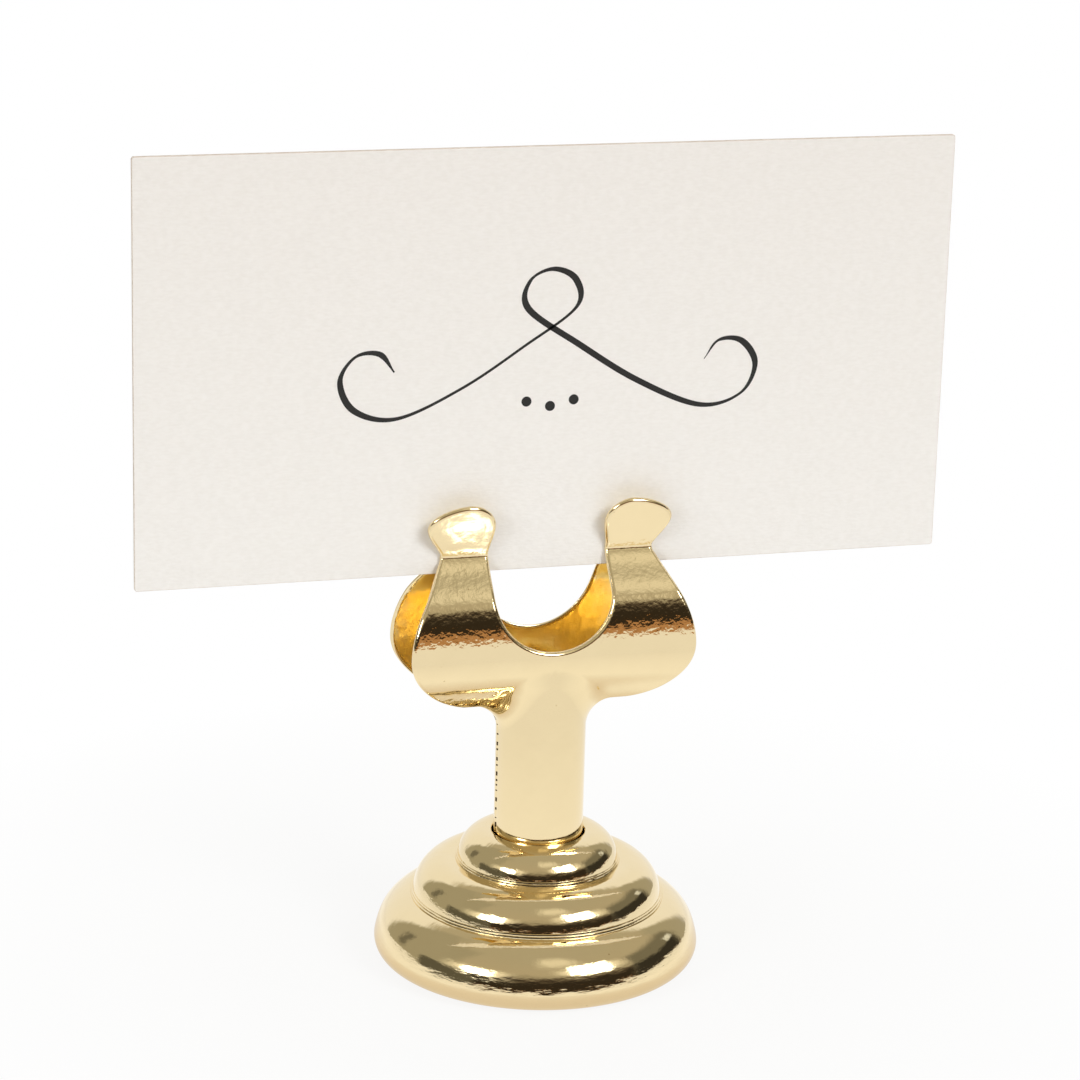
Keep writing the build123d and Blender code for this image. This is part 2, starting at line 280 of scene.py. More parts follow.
def leaf_section():
    """Front face of a leaf's section, upwards, as runs of points (y, z) and outward normals."""
    turn = math.asin(SHOULDER_RISE / ARM_SIDE_RADIUS)
    loop_centre = (SIDE_CENTRE_Y, LOOP_MID_Z)
    side_centre = np.array([ARM_SIDE_RADIUS - LOOP_HALF_DEPTH, LOOP_MID_Z])
    inwards = np.array([-math.cos(turn), math.sin(turn)])
    shoulder_centre = side_centre + (ARM_SIDE_RADIUS - SHOULDER_RADIUS) * inwards
    nose_centre = np.array([-(CARD_THICKNESS / 2 + CARD_FIT + PINCH_RADIUS), PINCH_Z])
    nose_radius = PINCH_RADIUS - SHEET
    span = nose_centre - shoulder_centre
    lean = math.atan2(span[1], -span[0])
    lean -= math.acos((SHOULDER_RADIUS + nose_radius) / np.hypot(*span))
    arm_start, arm_end = lean - SHOULDER_EASE, lean - PINCH_EASE
    start = math.asin((LOOP_MID_Z - TEE_TOP_Z) / LOOP_SIDE_RADIUS)
    count = 60
    loop = arc_points(loop_centre, LOOP_SIDE_RADIUS, math.pi + start, math.pi, count)
    side = arc_points(side_centre, ARM_SIDE_RADIUS, math.pi, math.pi - turn, count)
    shoulder = arc_points(shoulder_centre, SHOULDER_RADIUS, math.pi - turn, math.pi - arm_start, count)
    nose_points, outwards = arc_points(nose_centre, nose_radius, -arm_end, EAR_TILT, count)
    tangents = [(math.sin(angle), math.cos(angle)) for angle in (arm_start, arm_end)]
    arm_points = clamped_spline([shoulder[0][-1], nose_points[0]], *tangents, count)
    arm = arm_points, to_left(headings(arm_points))
    rise = EAR_TOP_Z - nose_points[-1, 1]
    ear_points = nose_points[-1] + np.array([(0, 0), (-rise * math.tan(EAR_TILT), rise)])
    ear_normals = np.tile([-math.cos(EAR_TILT), -math.sin(EAR_TILT)], (2, 1))
    return [loop, side, shoulder, arm, (nose_points, -outwards), (ear_points, ear_normals)]


SECTION = leaf_section()
SECTION_POINTS = np.vstack([points for points, normals in SECTION])
SECTION_NORMALS = np.vstack([normals for points, normals in SECTION])


def leaf_rows():
    """Heights of the mesh rows across the arms, close together where the section turns."""
    rows = []
    for (points, _), count in zip(SECTION, ROWS_PER_RUN):
        shares = np.linspace(0, 1, len(points))
        rows.append(np.interp(np.linspace(0, 1, count), shares, points[:, 1]))
    return np.unique(np.concatenate(rows).round(4))


def tee_field(x, y, z):
    """Signed distance, about, outside the loop and the stem, with the corner between them rounded."""
    side_y, low_z = y - SIDE_CENTRE_Y, z - LOOP_BOTTOM_CENTRE_Z
    side = np.hypot(side_y, z - LOOP_MID_Z)
    low = np.hypot(y, low_z)
    under = y * math.sin(LOOP_TANGENT) - low_z * math.cos(LOOP_TANGENT) > 0
    loop = np.where(under, low - LOOP_BOTTOM_RADIUS, side - LOOP_SIDE_RADIUS)
    loop_normal_y = np.where(under, y / np.maximum(low, 1e-9), side_y / side)
    reach = np.maximum(np.hypot(x, y), 1e-9)
    stem = reach - STEM_RADIUS
    facing = np.clip(y / reach * loop_normal_y, 0, 1)
    softening = FRONT_BLEND * smoothstep((TEE_TOP_Z - z) / FRONT_BLEND_RISE)
    rounding = STEM_FILLET * (1 - facing) + softening * facing**2 + 1e-6
    loop_room = np.maximum(rounding - loop, 0)
    stem_room = np.maximum(rounding - stem, 0)
    rounded = rounding - np.hypot(loop_room, stem_room)
    return np.where((loop_room > 0) & (stem_room > 0), rounded, np.minimum(loop, stem))


def tee_surface(x, z):
    """Depth of the front surface of the stem and loop, and its normals."""
    outside = np.full_like(x, -LOOP_HALF_DEPTH - 2)
    inside = np.zeros_like(x)
    for _ in range(48):
        middle = (outside + inside) / 2
        out = tee_field(x, middle, z) > 0
        outside = np.where(out, middle, outside)
        inside = np.where(out, inside, middle)
    y = np.minimum(inside, -SEAM_Y)
    spot = np.array([x, y, z])
    steps = 2e-3 * np.eye(3)[:, :, None]
    slopes = [tee_field(*(spot + step)) - tee_field(*(spot - step)) for step in steps]
    return y, unit(np.column_stack(slopes))


def leaf_surface(flat):
    """Points and normals of a leaf's front face, from points (x, z) of its front view."""
    x, z = flat.T
    columns = (SECTION_POINTS[:, 0], *SECTION_NORMALS.T)
    y, *across = [np.interp(z, SECTION_POINTS[:, 1], column) for column in columns]
    normals = unit(np.column_stack([np.zeros_like(z), *across]))
    tee = z < TEE_TOP_Z - 1e-4
    y[tee], normals[tee] = tee_surface(x[tee], z[tee])
    return np.column_stack([x, y, z]), normals


def shaded(points, normals):
    """Normals of a leaf's outer face, turned to one side on the arms and forwards under the wings."""
    x, _, z = points.T
    turned = normals.copy()
    arms = smoothstep((z - LOOP_MID_Z) / ARM_TURN_RISE) * smoothstep(PINCH_Z + 0.5 - z)
    turned[:, 0] -= ARM_TURN * arms
    low = smoothstep((LOOP_BOTTOM_Z + WING_TURN_TOP - z) / WING_TURN_EASE)
    for side, turn in zip((-1, 1), WING_TURNS):
        turned[:, 1] -= turn * low * smoothstep((side * x - STEM_RADIUS) / WING_TURN_EASE)
    return unit(turned)


# The clip's leaf: its front view, meshed flat


def loop_front():
    """Front half of the loop's lower section, from its lowest point up to its middle."""
    change = math.pi + LOOP_TANGENT
    low, _ = arc_points((0, LOOP_BOTTOM_CENTRE_Z), LOOP_BOTTOM_RADIUS, 1.5 * math.pi, change, 200)
    high, _ = arc_points((SIDE_CENTRE_Y, LOOP_MID_Z), LOOP_SIDE_RADIUS, change, math.pi, 200)
    return np.vstack([low, high[1:]])


LOOP_FRONT = loop_front()


def wing_corner_edge():
    """Heights and half widths of the wing's lower corner, drawn in along the sheet."""
    travelled = along(LOOP_FRONT)
    rise = (LOOP_FRONT[:, 1] - LOOP_MID_Z) / WING_CORNER_DROP
    x = WING_HALF_WIDTH - WING_CORNER_WIDTH * (1 - np.sqrt(1 - rise**2))
    inner = drawn_in(np.column_stack([x, travelled]), EDGE_REACH)
    return np.interp(inner[:, 1], travelled, LOOP_FRONT[:, 1]), inner[:, 0]


WING_EDGE = wing_corner_edge()


def leaf_outline():
    """Right half of a leaf's outline, from the wing's corner over the ear to the notch."""
    neck_outer = NOTCH_HALF_WIDTH + NECK_WIDTH
    start = math.asin((TEE_TOP_Z - LOOP_MID_Z) / WING_CORNER_DROP)
    angles = np.linspace(start, 0, 30)
    corner = np.column_stack([
        WING_HALF_WIDTH - WING_CORNER_WIDTH * (1 - np.cos(angles)),
        LOOP_MID_Z + WING_CORNER_DROP * np.sin(angles),
    ])
    wing = clamped_spline(
        [(WING_HALF_WIDTH, LOOP_MID_Z), (neck_outer, PINCH_Z)],
        (0, 1), (-math.sin(WING_SLOPE), math.cos(WING_SLOPE)), 80,
    )
    peak = (NOTCH_HALF_WIDTH + EAR_PEAK, EAR_TOP_Z)
    ear_outside = clamped_spline(
        [(neck_outer, PINCH_Z), (neck_outer + EAR_LOBE, PINCH_Z + EAR_LOBE_RISE), peak],
        (math.sin(EAR_SLOPE), math.cos(EAR_SLOPE)), (-1, 0), 60,
    )
    ear_inside = clamped_spline(
        [peak, (NOTCH_HALF_WIDTH - EAR_CHEEK, PINCH_Z + EAR_CHEEK_RISE), (NOTCH_HALF_WIDTH, PINCH_Z)],
        (-1, 0), (0, -1), 60,
    )
    notch_centre = (0, NOTCH_BOTTOM_Z + NOTCH_HALF_WIDTH)
    notch, _ = arc_points(notch_centre, NOTCH_HALF_WIDTH, 0, -math.pi / 2, 80)
    return np.vstack([corner, wing, ear_outside, ear_inside, notch])


def arms_outline(rows):
    """Outline of the leaf above the tee, from its right corner round to its left one."""
    right = leaf_outline()
    whole = np.vstack([right, right[-2::-1] * (-1, 1)])
    fine = 0.04
    path = evenly(distinct(whole), fine)
    path = softened(path, fine, NECK_SOFTENING, mode="reflect", reflect_type="odd")
    path = drawn_in(path, EDGE_REACH)
    corner = np.interp(TEE_TOP_Z, *WING_EDGE)
    path[0] = (corner, TEE_TOP_Z)
    path[-1] = (-corner, TEE_TOP_Z)
    travelled = along(path)
    stops = [np.linspace(0, travelled[-1], round(travelled[-1] / EDGE_SPACING))]
    for row in rows:
        above = path[:, 1] - row
        crossing = np.nonzero(above[:-1] * above[1:] < 0)[0]
        share = above[crossing] / (above[crossing] - above[crossing + 1])
        stops.append(travelled[crossing] + share * np.diff(travelled)[crossing])
    stops = np.sort(np.concatenate(stops))
    stops = stops[np.concatenate([[True], np.diff(stops) > 0.015])]
    stops[-1] = travelled[-1]
    return resampled(path, stops)


def inside_outline(points, outline):
    """Which points lie inside a closed outline."""
    x, z = points.T
    inside = np.zeros(len(points), bool)
    for (x0, z0), (x1, z1) in zip(outline, np.roll(outline, -1, axis=0)):
        if z0 != z1:
            crossed = (z0 > z) != (z1 > z)
            inside ^= crossed & (x < (x1 - x0) * (z - z0) / (z1 - z0) + x0)
    return inside


def far_from(points, outline, distance):
    """Which points are at least a distance from every point of an outline."""
    clear = np.ones(len(points), bool)
    for corner in evenly(np.vstack([outline, outline[:1]]), distance / 3):
        clear &= np.hypot(*(points - corner).T) > distance
    return clear


def anticlockwise(points, faces):
    """Flat faces, with those that run clockwise turned round."""
    turned = []
    for face in faces:
        x, z = points[face].T
        area = np.sum(x * np.roll(z, -1) - z * np.roll(x, -1))
        turned.append(face if area > 0 else face[::-1])
    return turned


def filled(outline, columns, rows):
    """Flat mesh inside a closed outline, with its inner points on columns and rows."""
    lattice = np.array([(x, z) for z in rows for x in columns])
    lattice = lattice[inside_outline(lattice, outline)]
    lattice = lattice[far_from(lattice, outline, LATTICE_CLEARANCE)]
    points = [Vector(point) for point in np.vstack([outline, lattice])]
    edges = [(i, (i + 1) % len(outline)) for i in range(len(outline))]
    corners, _, faces, *_ = delaunay_2d_cdt(points, edges, [], 1, 1e-7)
    corners = np.array([tuple(corner) for corner in corners])
    return corners, anticlockwise(corners, [list(face) for face in faces])


def grid_mesh(grid):
    """Points and quads of a flat grid."""
    points = grid.reshape(-1, 2)
    corners = np.arange(len(points)).reshape(grid.shape[:2])
    quads = [corners[:-1, :-1], corners[:-1, 1:], corners[1:, 1:], corners[1:, :-1]]
    return points, anticlockwise(points, np.stack(quads, axis=-1).reshape(-1, 4).tolist())


def seam_heights():
    """Heights along the loop's lower section, evenly spaced from the seam up to the tee's top."""
    travelled = along(LOOP_FRONT)
    start = np.interp(SEAM_Y, -LOOP_FRONT[:, 0], travelled)
    end = np.interp(TEE_TOP_Z, LOOP_FRONT[:, 1], travelled)
    heights = resampled(LOOP_FRONT, np.linspace(start, end, AROUND + 1))[:, 1]
    heights[-1] = TEE_TOP_Z
    return heights


def tee_grids():
    """Flat grids of the right half of the stem, the fan above it and the lower wing."""
    seam = math.pi / 2 - math.asin(SEAM_Y / STEM_RADIUS)
    columns = STEM_RADIUS * np.sin(np.linspace(seam, 0, AROUND + 1))
    heights = seam_heights()
    stem_z = np.linspace(SOCKET_Z + EDGE_REACH, FAN_FOOT_Z, STEM_ROWS)
    stem = np.array([[(x, z) for x in columns] for z in stem_z])

    rays = np.linspace(0, 1, FAN + 1)[:, None]
    turn = np.pi - rays[:, 0] * np.pi / 2
    stem_sag = STEM_RADIUS - columns[0]
    loop_sag = heights[0] - LOOP_BOTTOM_Z
    radius = STEM_FILLET + stem_sag + rays[:, 0] * (loop_sag - stem_sag)
    inner = np.column_stack([FAN_SIDE_X + radius * np.cos(turn), FAN_FOOT_Z + radius * np.sin(turn)])
    half = FAN // 2
    upright = np.linspace((0, FAN_FOOT_Z), (0, TEE_TOP_Z), half + 1)
    across = np.linspace((0, TEE_TOP_Z), (FAN_SIDE_X, TEE_TOP_Z), half + 1)
    outer = np.vstack([upright, across[1:]])
    first = np.column_stack([columns, np.full_like(columns, FAN_FOOT_Z)])
    last = np.column_stack([np.full_like(heights, FAN_SIDE_X), heights])
    first_share = 1 - columns / columns[0]
    last_share = (heights - heights[0]) / (heights[-1] - heights[0])
    fan = np.zeros((FAN + 1, AROUND + 1, 2))
    for k in range(AROUND + 1):
        share = mixed(first_share[k], last_share[k], rays)
        corners = mixed(mixed(first[0], first[-1], share), mixed(last[0], last[-1], share), rays)
        fan[:, k] = mixed(inner, outer, share) + mixed(first[k], last[k], rays) - corners

    edge = np.interp(heights, *WING_EDGE)
    wing = [np.linspace((FAN_SIDE_X, z), (x, z), WING_COLUMNS + 1) for x, z in zip(edge, heights)]
    return [stem, fan, np.array(wing)]


def leaf_front_view():
    """The whole front view of a leaf as one flat mesh: points (x, z) and faces, anticlockwise."""
    rows = leaf_rows()
    grids = tee_grids()
    half_top = np.vstack([grids[1][FAN // 2:, -1], grids[2][-1, 1:-1]])
    foot = np.vstack([half_top[::-1] * (-1, 1), half_top[1:]])
    outline = np.vstack([arms_outline(rows), foot])
    rows = rows[(rows > TEE_TOP_Z + 0.1) & (rows < EAR_TOP_Z)]
    blocks = [filled(outline, ARM_COLUMNS, rows)]
    blocks += [grid_mesh(grid) for grid in grids]
    blocks += [grid_mesh(grid * (-1, 1)) for grid in grids]
    flat = bmesh.new()
    for points, faces in blocks:
        corners = [flat.verts.new((x, 0, z)) for x, z in points]
        for face in faces:
            flat.faces.new([corners[i] for i in face])
    bmesh.ops.remove_doubles(flat, verts=flat.verts, dist=1e-3)
    flat.verts.index_update()
    points = np.array([(vert.co.x, vert.co.z) for vert in flat.verts])
    faces = [[vert.index for vert in face.verts] for face in flat.faces]
    flat.free()
    return points, faces


# Sheets with rounded edges: the clip's leaves and the card
OUTER_ROUNDING = np.radians([12, 25, 38, 52, 66, 80, 90])
INNER_ROUNDING = np.radians([90, 105, 125, 145, 163])


def edge_loops(faces):
    """For each point on the sheet's edge, the next one, with the sheet on the left."""
    directed = {(a, b) for face in faces for a, b in zip(face, face[1:] + face[:1])}
    return {a: b for a, b in directed if (b, a) not in directed}


def rounded_sheet(points, normals, faces, thickness, reach, drops, nicks=0):
    """Closed sheet from its front face: its points, normals and faces, with the rim's faces last.

    The edge is rounded over a reach along the sheet, and by a drop at its front and its back.
    """
    count = len(points)
    following = edge_loops(faces)
    edge = np.array(list(following))
    place = {vert: i for i, vert in enumerate(edge)}
    after = np.array([place[following[vert]] for vert in edge])
    before = np.empty_like(after)
    before[after] = np.arange(len(edge))
    facing = normals[edge]
    outward = unit(np.cross(points[edge[after]] - points[edge[before]], facing))
    spread = (reach - nicks * np.ones(count))[edge, None]

    all_points = [points, points - thickness * normals]
    all_normals = [normals, -normals]
    rings = [edge]
    gaps = (0, thickness - 2 * drops[1])
    for angles, drop, gap in zip((OUTER_ROUNDING, INNER_ROUNDING), drops, gaps):
        for angle in angles:
            depth = gap + drop * (1 - math.cos(angle))
            rings.append(2 * count + (len(rings) - 1) * len(edge) + np.arange(len(edge)))
            all_points.append(points[edge] + spread * math.sin(angle) * outward - depth * facing)
            all_normals.append(unit(math.sin(angle) / reach * outward + math.cos(angle) / drop * facing))
    rings.append(count + edge)
    rim = []
    for ring, deeper in zip(rings, rings[1:]):
        for here, there in enumerate(after):
            rim.append([ring[there], ring[here], deeper[here], deeper[there]])
    back = [[count + i for i in face[::-1]] for face in faces]
    return np.vstack(all_points), np.vstack(all_normals), faces + back + rim


def linked(name, data):
    """New object in the scene, at the origin."""
    piece = bpy.data.objects.new(name, data)
    bpy.context.collection.objects.link(piece)
    return piece


def new_piece(name, points, faces, materials, normals=None, face_materials=None):
    """Smooth mesh object from millimetre points."""
    mesh = bpy.data.meshes.new(name)
    mesh.from_pydata((np.asarray(points) * MM).tolist(), [], [[int(i) for i in face] for face in faces])
    for material in materials:
        mesh.materials.append(material)
    mesh.polygons.foreach_set("use_smooth", [True] * len(mesh.polygons))
    if face_materials is not None:
        mesh.polygons.foreach_set("material_index", face_materials)
    mesh.update()
    if normals is not None:
        mesh.normals_split_custom_set_from_vertices(np.asarray(normals).tolist())
    return linked(name, mesh)


def seam_nicks(points):
    """Depth of the small tears along the leaf's left seam edge, none elsewhere."""
    draws = np.random.default_rng(7)
    rows = np.round((points[:, 2] - SOCKET_Z) / NICK_SPACING).astype(int)
    torn = draws.random(rows.max() + 1) < NICK_SHARE
    on_seam = (points[:, 0] < 0.05 - STEM_RADIUS) & (points[:, 2] < FAN_FOOT_Z)
    return np.where(on_seam & torn[rows], NICK_DEPTH, 0)


def make_leaves(outer_gold, inner_gold):
    """Front leaf, and the same stamping turned half round for the back."""
    flat, front = leaf_front_view()
    points, normals = leaf_surface(flat)
    points, normals, faces = rounded_sheet(
        points, normals, front, SHEET, EDGE_REACH, (EDGE_DROP, INNER_EDGE_DROP), seam_nicks(points)
    )
    outer = slice(len(flat))
    normals[outer] = shaded(points[outer], normals[outer])
    kinds = [0] * len(faces)
    kinds[len(front):2 * len(front)] = [1] * len(front)
    half_turn = np.array([-1, -1, 1])
    finishes = [outer_gold, inner_gold]
    for side, facing in (("front", 1), ("back", half_turn)):
        leaf = new_piece(f"{side}_leaf", points * facing, faces, finishes, normals * facing, kinds)
        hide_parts(f"{side}_stem_half", f"{side}_jaw")
        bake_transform(leaf)


# Card


def rounded_rectangle(low, high, corner):
    """Anticlockwise outline of a rectangle with rounded corners."""
    (x0, z0), (x1, z1) = np.array(low) + corner, np.array(high) - corner
    corners = []
    for i, centre in enumerate([(x1, z0), (x1, z1), (x0, z1), (x0, z0)]):
        start = (i - 1) * math.pi / 2
        corners.append(arc_points(centre, corner, start, start + math.pi / 2, 5)[0])
    return np.vstack(corners)


def make_card(face_paper, shaded_edge_paper):
    """Card slab with its cut edge in a paper of its own, darker and tan: painted shade."""
    low = np.array([CARD_LOW[0], CARD_LOW[2]]) + CARD_EDGE
    high = np.array([CARD_HIGH[0], CARD_HIGH[2]]) - CARD_EDGE
    outline = rounded_rectangle(low, high, CARD_CORNER - CARD_EDGE)
    columns = np.linspace(low[0], high[0], 40)[1:-1]
    rows = np.linspace(low[1], high[1], 20)[1:-1]
    flat, front = filled(outline, columns, rows)
    points = np.column_stack([flat[:, 0], np.full(len(flat), CARD_LOW[1]), flat[:, 1]])
    normals = np.tile([0.0, -1.0, 0.0], (len(flat), 1))
    drops = (CARD_EDGE, CARD_EDGE)
    points, normals, faces = rounded_sheet(points, normals, front, CARD_THICKNESS, CARD_EDGE, drops)
    kinds = [0] * (2 * len(front)) + [1] * (len(faces) - 2 * len(front))
    card = new_piece("card_stock_sheet", points, faces, [face_paper, shaded_edge_paper], normals, kinds)
    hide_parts("place_card")
    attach(card, "card")


# Pen flourish on the card: a mirrored scroll with a loop in the middle
FLOURISH_HALF = (
    (-17.0, -0.6), (-18.6, 1.4), (-21.2, 1.2), (-22.8, -1.4), (-21.2, -4.6), (-16.6, -5.6),
    (-9.6, -2.6), (-3.0, 1.6), (2.6, 5.6), (2.5, 8.6), (0.0, 9.8),
)
HAIRLINE = 0.28
BROAD_STROKE = 0.72
NIB_ANGLE = math.radians(35)
STROKE_TAPER = 3.0
INK_LIFT = 0.012
DOT_RADIUS = 0.55
DOT_PLACES = ((-2.6, -4.4), (0.0, -5.0), (2.6, -4.4))


def smooth_path(points, per_span):
    """Smooth curve through a list of points."""
    points = np.array(points, float)
    ends = np.vstack([2 * points[0] - points[1], points, 2 * points[-1] - points[-2]])
    t = np.linspace(0, 1, per_span, endpoint=False)[:, None]
    curve = []
    for before, start, end, after in zip(ends, ends[1:], ends[2:], ends[3:]):
        curve.append(0.5 * (
            2 * start + (end - before) * t + (2 * before - 5 * start + 4 * end - after) * t**2
            + (3 * start - before - 3 * end + after) * t**3
        ))
    return np.vstack(curve + [points[-1:]])


def stroke(path):
    """Left and right edges of a broad-nibbed stroke that tapers at both ends."""
    heading = headings(path)
    slant = np.abs(np.sin(np.arctan2(heading[:, 1], heading[:, 0]) - NIB_ANGLE))
    width = HAIRLINE + (BROAD_STROKE - HAIRLINE) * slant**1.6
    ends = np.minimum(along(path), along(path)[-1] - along(path))
    width = width * (0.25 + 0.75 * smoothstep(ends / STROKE_TAPER))
    half = to_left(heading) * width[:, None] / 2
    return path + half, path - half


def inked_strip(left, right):
    """Thin closed strip of ink on the card's face, between two edges."""
    count = len(left)
    middle = np.array([0, (CARD_LOW[2] + CARD_HIGH[2]) / 2])
    face = CARD_LOW[1]
    layers = []
    for edge, depth in ((left, face - INK_LIFT), (right, face - INK_LIFT), (right, face), (left, face)):
        flat = edge + middle
        layers.append(np.column_stack([flat[:, 0], np.full(count, depth), flat[:, 1]]))
    faces = []
    for i in range(count - 1):
        for layer in range(4):
            here, there = layer * count + i, (layer + 1) % 4 * count + i
            faces.append([here, there, there + 1, here + 1])
    ends = [layer * count for layer in range(4)]
    faces.append(ends[::-1])
    faces.append([end + count - 1 for end in ends])
    return np.vstack(layers), faces


def make_flourish(black):
    """The scroll and three dots below it, drawn in ink on the front of the card."""
    half = np.array(FLOURISH_HALF)
    path = smooth_path(np.vstack([half, half[-2::-1] * (-1, 1)]), 14)
    strips = [inked_strip(*stroke(path))]
    turn = np.linspace(0.02, math.pi - 0.02, 16)
    rim = DOT_RADIUS * np.column_stack([-np.cos(turn), np.sin(turn)])
    strips += [inked_strip(rim + place, rim * (1, -1) + place) for place in DOT_PLACES]
    points, faces = [], []
    for strip, strip_faces in strips:
        start = sum(len(done) for done in points)
        points.append(strip)
        faces += [[start + i for i in face] for face in strip_faces]
    flourish = new_piece("pen_flourish", np.vstack(points), faces, [black])
    flourish.data.polygons.foreach_set("use_smooth", [False] * len(faces))
    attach(flourish, "card")


# Base


def bead_heights():
    """Centre heights of the beads, top tier first, stacked from the foot upwards."""
    heights = [RIM_LIFT + FOOT_ROLL]
    for upper in (1, 0):
        lower = upper + 1
        foot = TIER_RADII[upper] + BAND_WIDTH + LEDGE - BEAD_RINGS[lower]
        foot_z = heights[0] + math.sqrt(BEAD_RADII[lower] ** 2 - foot**2)
        heights.insert(0, foot_z + BAND_HEIGHT - BEAD_RADII[upper] * math.sin(BEAD_STOP))
    return heights


def bead_outside(tier, crown_z, inner):
    """Outside of a bead from an inner radius over its crown and down its flank, and under the foot."""
    crown, flank = CROWN_RADII[tier], FLANK_RADII[tier]
    start, stop = [np.array([math.cos(turn), math.sin(turn)]) for turn in (FLANK_START, FLANK_STOP)]
    stop_z = crown_z - crown * (1 - start[1]) - flank * (start[1] - stop[1])
    roll = (stop_z - RIM_LIFT) / (1 + stop[1]) if tier == 2 else flank
    flank_end = np.array([TIER_RADII[tier] - roll * (1 - stop[0]), stop_z])
    flank_centre = flank_end - flank * stop
    crown_centre = flank_centre + (flank - crown) * start
    begin = math.acos(max(inner - crown_centre[0], 0) / crown)
    top, _ = arc_points(crown_centre, crown, begin, FLANK_START, 60)
    side, _ = arc_points(flank_centre, flank, FLANK_START, FLANK_STOP, 30)
    parts = [top, side[1:]]
    if tier == 2:
        under, _ = arc_points(flank_end - roll * stop, roll, FLANK_STOP, -math.pi / 2, 40)
        parts.append(under[1:])
    return np.vstack(parts)


def fine_steps(start, end):
    """Leaning steps from the foot of a bead down to the tier below."""
    out, down = (np.array(end) - start) / FINE_STEPS
    lean = -down * STEP_WALL * math.tan(STEP_LEAN)
    corners = []
    for step in range(FINE_STEPS):
        edge, top = start[0] + (step + 1) * out, start[1] + step * down
        corners += [(edge - lean, top), (edge, top + STEP_WALL * down), (edge, top + down)]
    return np.array(corners)


def shell_profile():
    """Closed section of the shell, anticlockwise, as points (distance from the axis, height)."""
    heights = bead_heights()
    foot_ring = TIER_RADII[2] - FOOT_ROLL
    lip_radius = foot_ring - LIP_WIDTH
    crowns = [z + bead - drop for z, bead, drop in zip(heights, BEAD_RADII, CROWN_DROPS)]
    roll_centre = (HOLE_RADIUS + HOLE_ROLL, crowns[0] - HOLE_ROLL)
    outside = [arc_points(roll_centre, HOLE_ROLL, math.pi, math.pi / 2, 12)[0]]
    inner = roll_centre[0]
    for tier in range(3):
        bead = bead_outside(tier, crowns[tier], inner)
        if tier > 0:
            outside.append(fine_steps(outside[-1][-1], (inner - LEDGE, bead[0, 1])))
        outside.append(bead)
        inner = TIER_RADII[tier] + BAND_WIDTH + LEDGE
    outside.append(np.array([(lip_radius, RIM_LIFT), (lip_radius, LIP_TOP_Z)]))

    inside = []
    wall = HOLE_RADIUS
    for ring, bead, centre_z in zip(BEAD_RINGS, BEAD_RADII, heights):
        inner_bead = bead - SHELL_SHEET
        begin = wall if wall == HOLE_RADIUS else max(wall, ring)
        start = math.acos((begin - ring) / inner_bead)
        if begin > wall > HOLE_RADIUS:
            inside.append(np.array([(wall, centre_z + inner_bead)]))
        inside.append(arc_points((ring, centre_z), inner_bead, start, 0, 24)[0])
        wall = ring + inner_bead
    inside.append(arc_points((foot_ring, heights[2]), FOOT_ROLL - SHELL_SHEET, 0, -math.pi / 2, 16)[0])
    clockwise = np.vstack(outside + [np.vstack(inside)[::-1]])
    return clockwise[::-1]


def softened_ring(profile):
    """A closed profile with its corners rounded, thinned out where it is straight."""
    fine = 0.005
    path = evenly(distinct(np.vstack([profile, profile[:1]])), fine)[:-1]
    path = softened(path, fine, RING_SOFTENING, mode="wrap")
    heading = np.unwrap(np.arctan2(*np.gradient(path, axis=0).T[::-1]))
    effort = np.cumsum(np.abs(np.gradient(heading)) / math.radians(5) + fine / 0.3)
    return path[np.unique(np.searchsorted(effort, np.arange(0, effort[-1])))]


def add_node(tree, kind, inputs=(), **settings):
    """New node with its settings made and its inputs set or linked."""
    node = tree.nodes.new(kind)
    for key, value in settings.items():
        setattr(node, key, value)
    for key, value in dict(inputs).items():
        if isinstance(value, bpy.types.NodeSocket):
            tree.links.new(value, node.inputs[key])
        else:
            node.inputs[key].default_value = value
    return node


def math_node(tree, operation, first, second=0.0, third=0.0):
    """Output of a Math node."""
    return add_node(tree, "ShaderNodeMath", {0: first, 1: second, 2: third}, operation=operation).outputs[0]


def times(tree, product, *factors):
    """Product of values."""
    for factor in factors:
        product = math_node(tree, "MULTIPLY", product, factor)
    return product


